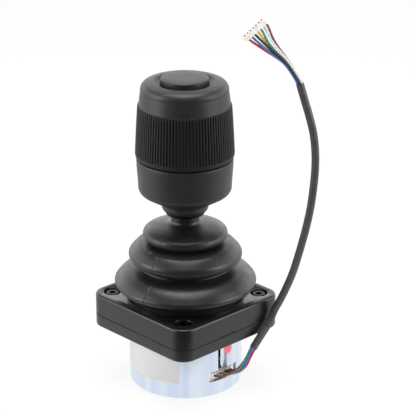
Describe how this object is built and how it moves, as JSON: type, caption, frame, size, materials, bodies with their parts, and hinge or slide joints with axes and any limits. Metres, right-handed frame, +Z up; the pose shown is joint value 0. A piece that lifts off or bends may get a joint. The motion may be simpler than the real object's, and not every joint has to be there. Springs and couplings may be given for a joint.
{
  "type": "three-axis joystick",
  "caption": "Panel joystick with a tilting stick under a bellows, a spring-return twist grip with a push button, a square flange and a plated can with a wired lead.",
  "frame": {"origin": "centre of the can's base, on the surface that the joystick can stand on", "axes": "+Z up the stick, +X to the side where the lead leaves the can, flange sides along X and Y"},
  "size_m": [0.0838, 0.0598, 0.1669],
  "materials": {
    "plated_steel": "bright bluish zinc plate",
    "label": "matt film, blank",
    "red_marker": "satin lacquer dot",
    "black_plastic": "semi-matt moulded",
    "grip_plastic": "matt moulded",
    "grip_rubber": "ribbed, matt",
    "rubber": "moulded rubber",
    "black_screw": "black oxide",
    "steel": "turned and plated",
    "dark_metal": "die-cast zinc",
    "board": "solder resist",
    "nylon": "moulded nylon",
    "chip": "moulded epoxy",
    "ivory_plastic": "moulded nylon",
    "wire": "coloured PVC insulation",
    "sleeving": "soft sleeving",
    "magnet": "nickel plate",
    "brass": "sintered bronze"
  },
  "bodies": {
    "base": {"can": "plated_steel", "blank_label": "label", "inspection_dot": "red_marker", "lower_flange": "black_plastic", "bezel": "black_plastic", "mounting_screws": "black_screw", "bellows_lower": "rubber", "bellows_ring": "black_plastic", "gate_plate": "steel", "gate_screws": "steel", "gimbal_cradle": "dark_metal", "cradle_screws": "steel", "sensor_board": "board", "board_spacers": "nylon", "board_screws": "steel", "tilt_sensor": "chip", "header": "ivory_plastic", "inner_wires": "wire", "tilt_spring_x": "steel", "lead_plug": "ivory_plastic", "lead_wires_near": "wire", "lead_sleeve": "sleeving", "lead_wires_far": "wire", "lead_connector": "ivory_plastic"},
    "gimbal": {"gimbal_ring": "dark_metal", "tilt_pins_x": "steel", "tilt_spring_y": "steel", "bellows_upper": "rubber"},
    "stick": {"stick_shaft": "steel", "tilt_pins_y": "steel", "magnet_holder": "grip_plastic", "stick_magnet": "magnet", "collar_locknut": "black_screw", "shaft_collar": "grip_plastic", "collar_set_screw": "black_screw", "grip_cup": "grip_plastic", "cup_nut": "steel", "twist_board": "board", "twist_sensor": "chip", "twist_bush": "brass", "twist_spring": "steel", "shaft_nut": "steel"},
    "grip": {"grip_hub": "dark_metal", "twist_magnet": "magnet", "grip_sleeve": "grip_rubber", "grip_cap": "grip_plastic", "grip_screws": "steel", "button_board": "board", "button_switch": "chip", "button_spring": "steel"},
    "button": {"button": "grip_plastic"}
  },
  "joints": [
    {"name": "tilt_x", "type": "hinge", "parent": "base", "child": "gimbal", "pos_m": [0, 0, 0.031], "axis": [1, 0, 0], "range_deg": [-18, 18], "stiffness_Nm_per_rad": 0.4, "deforming": ["bellows_lower", "tilt_spring_x"]},
    {"name": "tilt_y", "type": "hinge", "parent": "gimbal", "child": "stick", "pos_m": [0, 0, 0.031], "axis": [0, 1, 0], "range_deg": [-18, 18], "stiffness_Nm_per_rad": 0.4, "deforming": ["bellows_upper", "tilt_spring_y"]},
    {"name": "twist", "type": "hinge", "parent": "stick", "child": "grip", "pos_m": [0, 0, 0.11], "axis": [0, 0, 1], "range_deg": [-30, 30], "stiffness_Nm_per_rad": 0.06, "deforming": ["twist_spring"]},
    {"name": "press", "type": "slide", "parent": "grip", "child": "button", "axis": [0, 0, -1], "range_m": [0, 0.0013], "stiffness_N_per_m": 1500, "deforming": ["button_spring"]}
  ]
}
